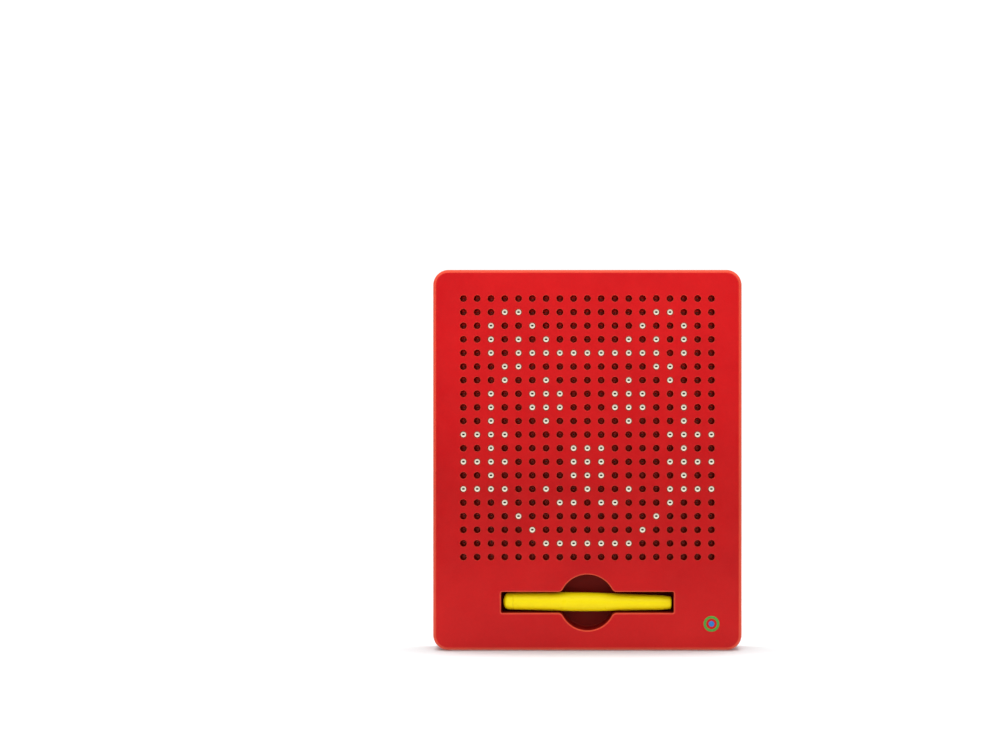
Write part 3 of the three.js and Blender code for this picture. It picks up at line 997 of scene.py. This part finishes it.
class Sky:
    """The world's node tree, with short ways to add to it."""

    def __init__(self):
        world = bpy.data.worlds.new("studio")
        bpy.context.scene.world = world
        world.use_nodes = True
        self.tree = world.node_tree
        self.output = self.tree.nodes["World Output"].inputs["Surface"]
        coordinate = self.tree.nodes.new("ShaderNodeTexCoord")
        split = self.tree.nodes.new("ShaderNodeSeparateXYZ")
        self.link(coordinate.outputs["Generated"], split.inputs["Vector"])
        self.x, self.y, self.z = (split.outputs[axis] for axis in "XYZ")
        self.ray = self.tree.nodes.new("ShaderNodeLightPath").outputs

    def link(self, source, target):
        self.tree.links.new(source, target)

    def math(self, operation, first, second=0):
        node = self.tree.nodes.new("ShaderNodeMath")
        node.operation = operation
        for socket, value in zip(node.inputs, (first, second)):
            if isinstance(value, (int, float)):
                socket.default_value = value
            else:
                self.link(value, socket)
        return node.outputs["Value"]

    def span(self, source, from_low, from_high, to_low, to_high):
        node = self.tree.nodes.new("ShaderNodeMapRange")
        node.interpolation_type = "SMOOTHSTEP"
        node.inputs["From Min"].default_value = from_low
        node.inputs["From Max"].default_value = from_high
        node.inputs["To Min"].default_value = to_low
        node.inputs["To Max"].default_value = to_high
        self.link(source, node.inputs["Value"])
        return node.outputs["Result"]

    def light(self, strength, colour=(1, 1, 1)):
        node = self.tree.nodes.new("ShaderNodeBackground")
        node.inputs["Color"].default_value = (*colour, 1)
        if isinstance(strength, (int, float)):
            node.inputs["Strength"].default_value = strength
        else:
            self.link(strength, node.inputs["Strength"])
        return node.outputs["Background"]

    def choose(self, factor, if_not, if_so):
        node = self.tree.nodes.new("ShaderNodeMixShader")
        self.link(factor, node.inputs["Fac"])
        self.link(if_not, node.inputs[1])
        self.link(if_so, node.inputs[2])
        return node.outputs["Shader"]


# The tent: where the edge of its dark opening starts and ends, in degrees from straight in front,
# and how many times wider than high the opening is.
OPENING_EDGE = (38, 52)
OPENING_SHAPE = 1.5
OPENING_LEVEL = 0.02
WARM = (1, 0.93, 0.82)
# The white that gloss mirrors: level with the eye, and how much less of it straight up.
MIRRORED_LEVEL = 1.22
MIRRORED_FALL = 0.2
# The light from above: straight up, how much more of it from the front, and the light from all round.
ROOF_LEVEL = 1.45
ROOF_SLOPE = 0.5
ROUND_LEVEL = 0.24
# The background behind the board.
BACKGROUND_LEVEL = 1.1


def tent():
    """A white tent, lit from above. Gloss mirrors it with a dark opening on the side the face looks at."""
    sky = Sky()
    up = sky.math("MULTIPLY", sky.z, OPENING_SHAPE)
    squared = sky.math("ADD", sky.math("MULTIPLY", sky.x, sky.x), sky.math("MULTIPLY", up, up))
    off_axis = sky.math("SQRT", squared)
    # Ten times y is past the opening's edge wherever a direction is a little way towards the back.
    behind = sky.math("MULTIPLY", sky.y, 10)
    edge = (math.sin(math.radians(angle)) for angle in OPENING_EDGE)
    opening = sky.span(sky.math("MAXIMUM", off_axis, behind), *edge, OPENING_LEVEL, 1)
    white = sky.math("SUBTRACT", MIRRORED_LEVEL, sky.math("MULTIPLY", sky.z, MIRRORED_FALL))
    mirrored = sky.math("MULTIPLY", opening, white)
    roof = sky.math("SUBTRACT", ROOF_LEVEL, sky.math("MULTIPLY", sky.y, ROOF_SLOPE))
    overhead = sky.math("ADD", sky.math("MULTIPLY", sky.math("MAXIMUM", sky.z, 0), roof), ROUND_LEVEL)
    seen_by_gloss = sky.ray["Is Glossy Ray"]
    inside = sky.choose(seen_by_gloss, sky.light(overhead), sky.light(mirrored, WARM))
    sky.link(sky.choose(sky.ray["Is Camera Ray"], inside, sky.light(BACKGROUND_LEVEL)), sky.output)


def studio():
    """The tent, a lamp behind the board's top that throws its thin shadow, and one low in front."""
    tent()
    soft_box("top_box", place=(0, 0.045, 1.2), aim=(0, 0, 0), width=0.9, height=0.09, power=12)
    soft_box("low_box", place=(0, -0.42, -0.16), aim=(0, 0, 0.15), width=0.9, height=0.2, power=6.2)


# The camera: how far in front of the face it is, how far above the board's middle, the share of the
# picture's width that the board takes, and the lens's shift.
CAMERA_DISTANCE = 0.7
CAMERA_ABOVE_MIDDLE = 32 * MM
BOARD_SHARE = 0.3095
SENSOR_WIDTH = 36
SHIFT_X = -0.0874
SHIFT_Y = 0.03


def camera():
    """A camera that looks level at the board. Its shift puts the board low on the right."""
    lens = bpy.data.cameras.new("camera")
    lens.sensor_width = SENSOR_WIDTH
    lens.lens = SENSOR_WIDTH * BOARD_SHARE * CAMERA_DISTANCE / BOARD_WIDTH
    lens.shift_x = SHIFT_X
    lens.shift_y = SHIFT_Y
    made = bpy.data.objects.new("camera", lens)
    made.location = (0, FACE_Y - CAMERA_DISTANCE, BOARD_MIDDLE + CAMERA_ABOVE_MIDDLE)
    made.rotation_euler = (math.pi / 2, 0, 0)
    bpy.context.scene.collection.objects.link(made)
    bpy.context.scene.camera = made


def finish_inner_pieces():
    """The magnet and its plug keep their CAD shapes and get a finish."""
    for node, material in (("stylus_magnet", MAGNET_STEEL), ("stylus_magnet_plug", SOCKET_PAINTED_SHADE)):
        mesh = frame["nodes"][node].data
        mesh.materials.clear()
        mesh.materials.append(material)


front_case()
socket_block()
rear_case()
beads()
stylus_frame = stylus_place()
stylus_cap(stylus_frame)
stylus_body(stylus_frame)
screws()
print_film("print_ring", RING_OUTSIDE, RING_INSIDE, GREEN_INK)
print_film("print_dot", DOT_RADIUS, 0, BLUE_INK)
finish_inner_pieces()
floor()
studio()
camera()

bpy.context.scene.view_settings.view_transform = "Standard"
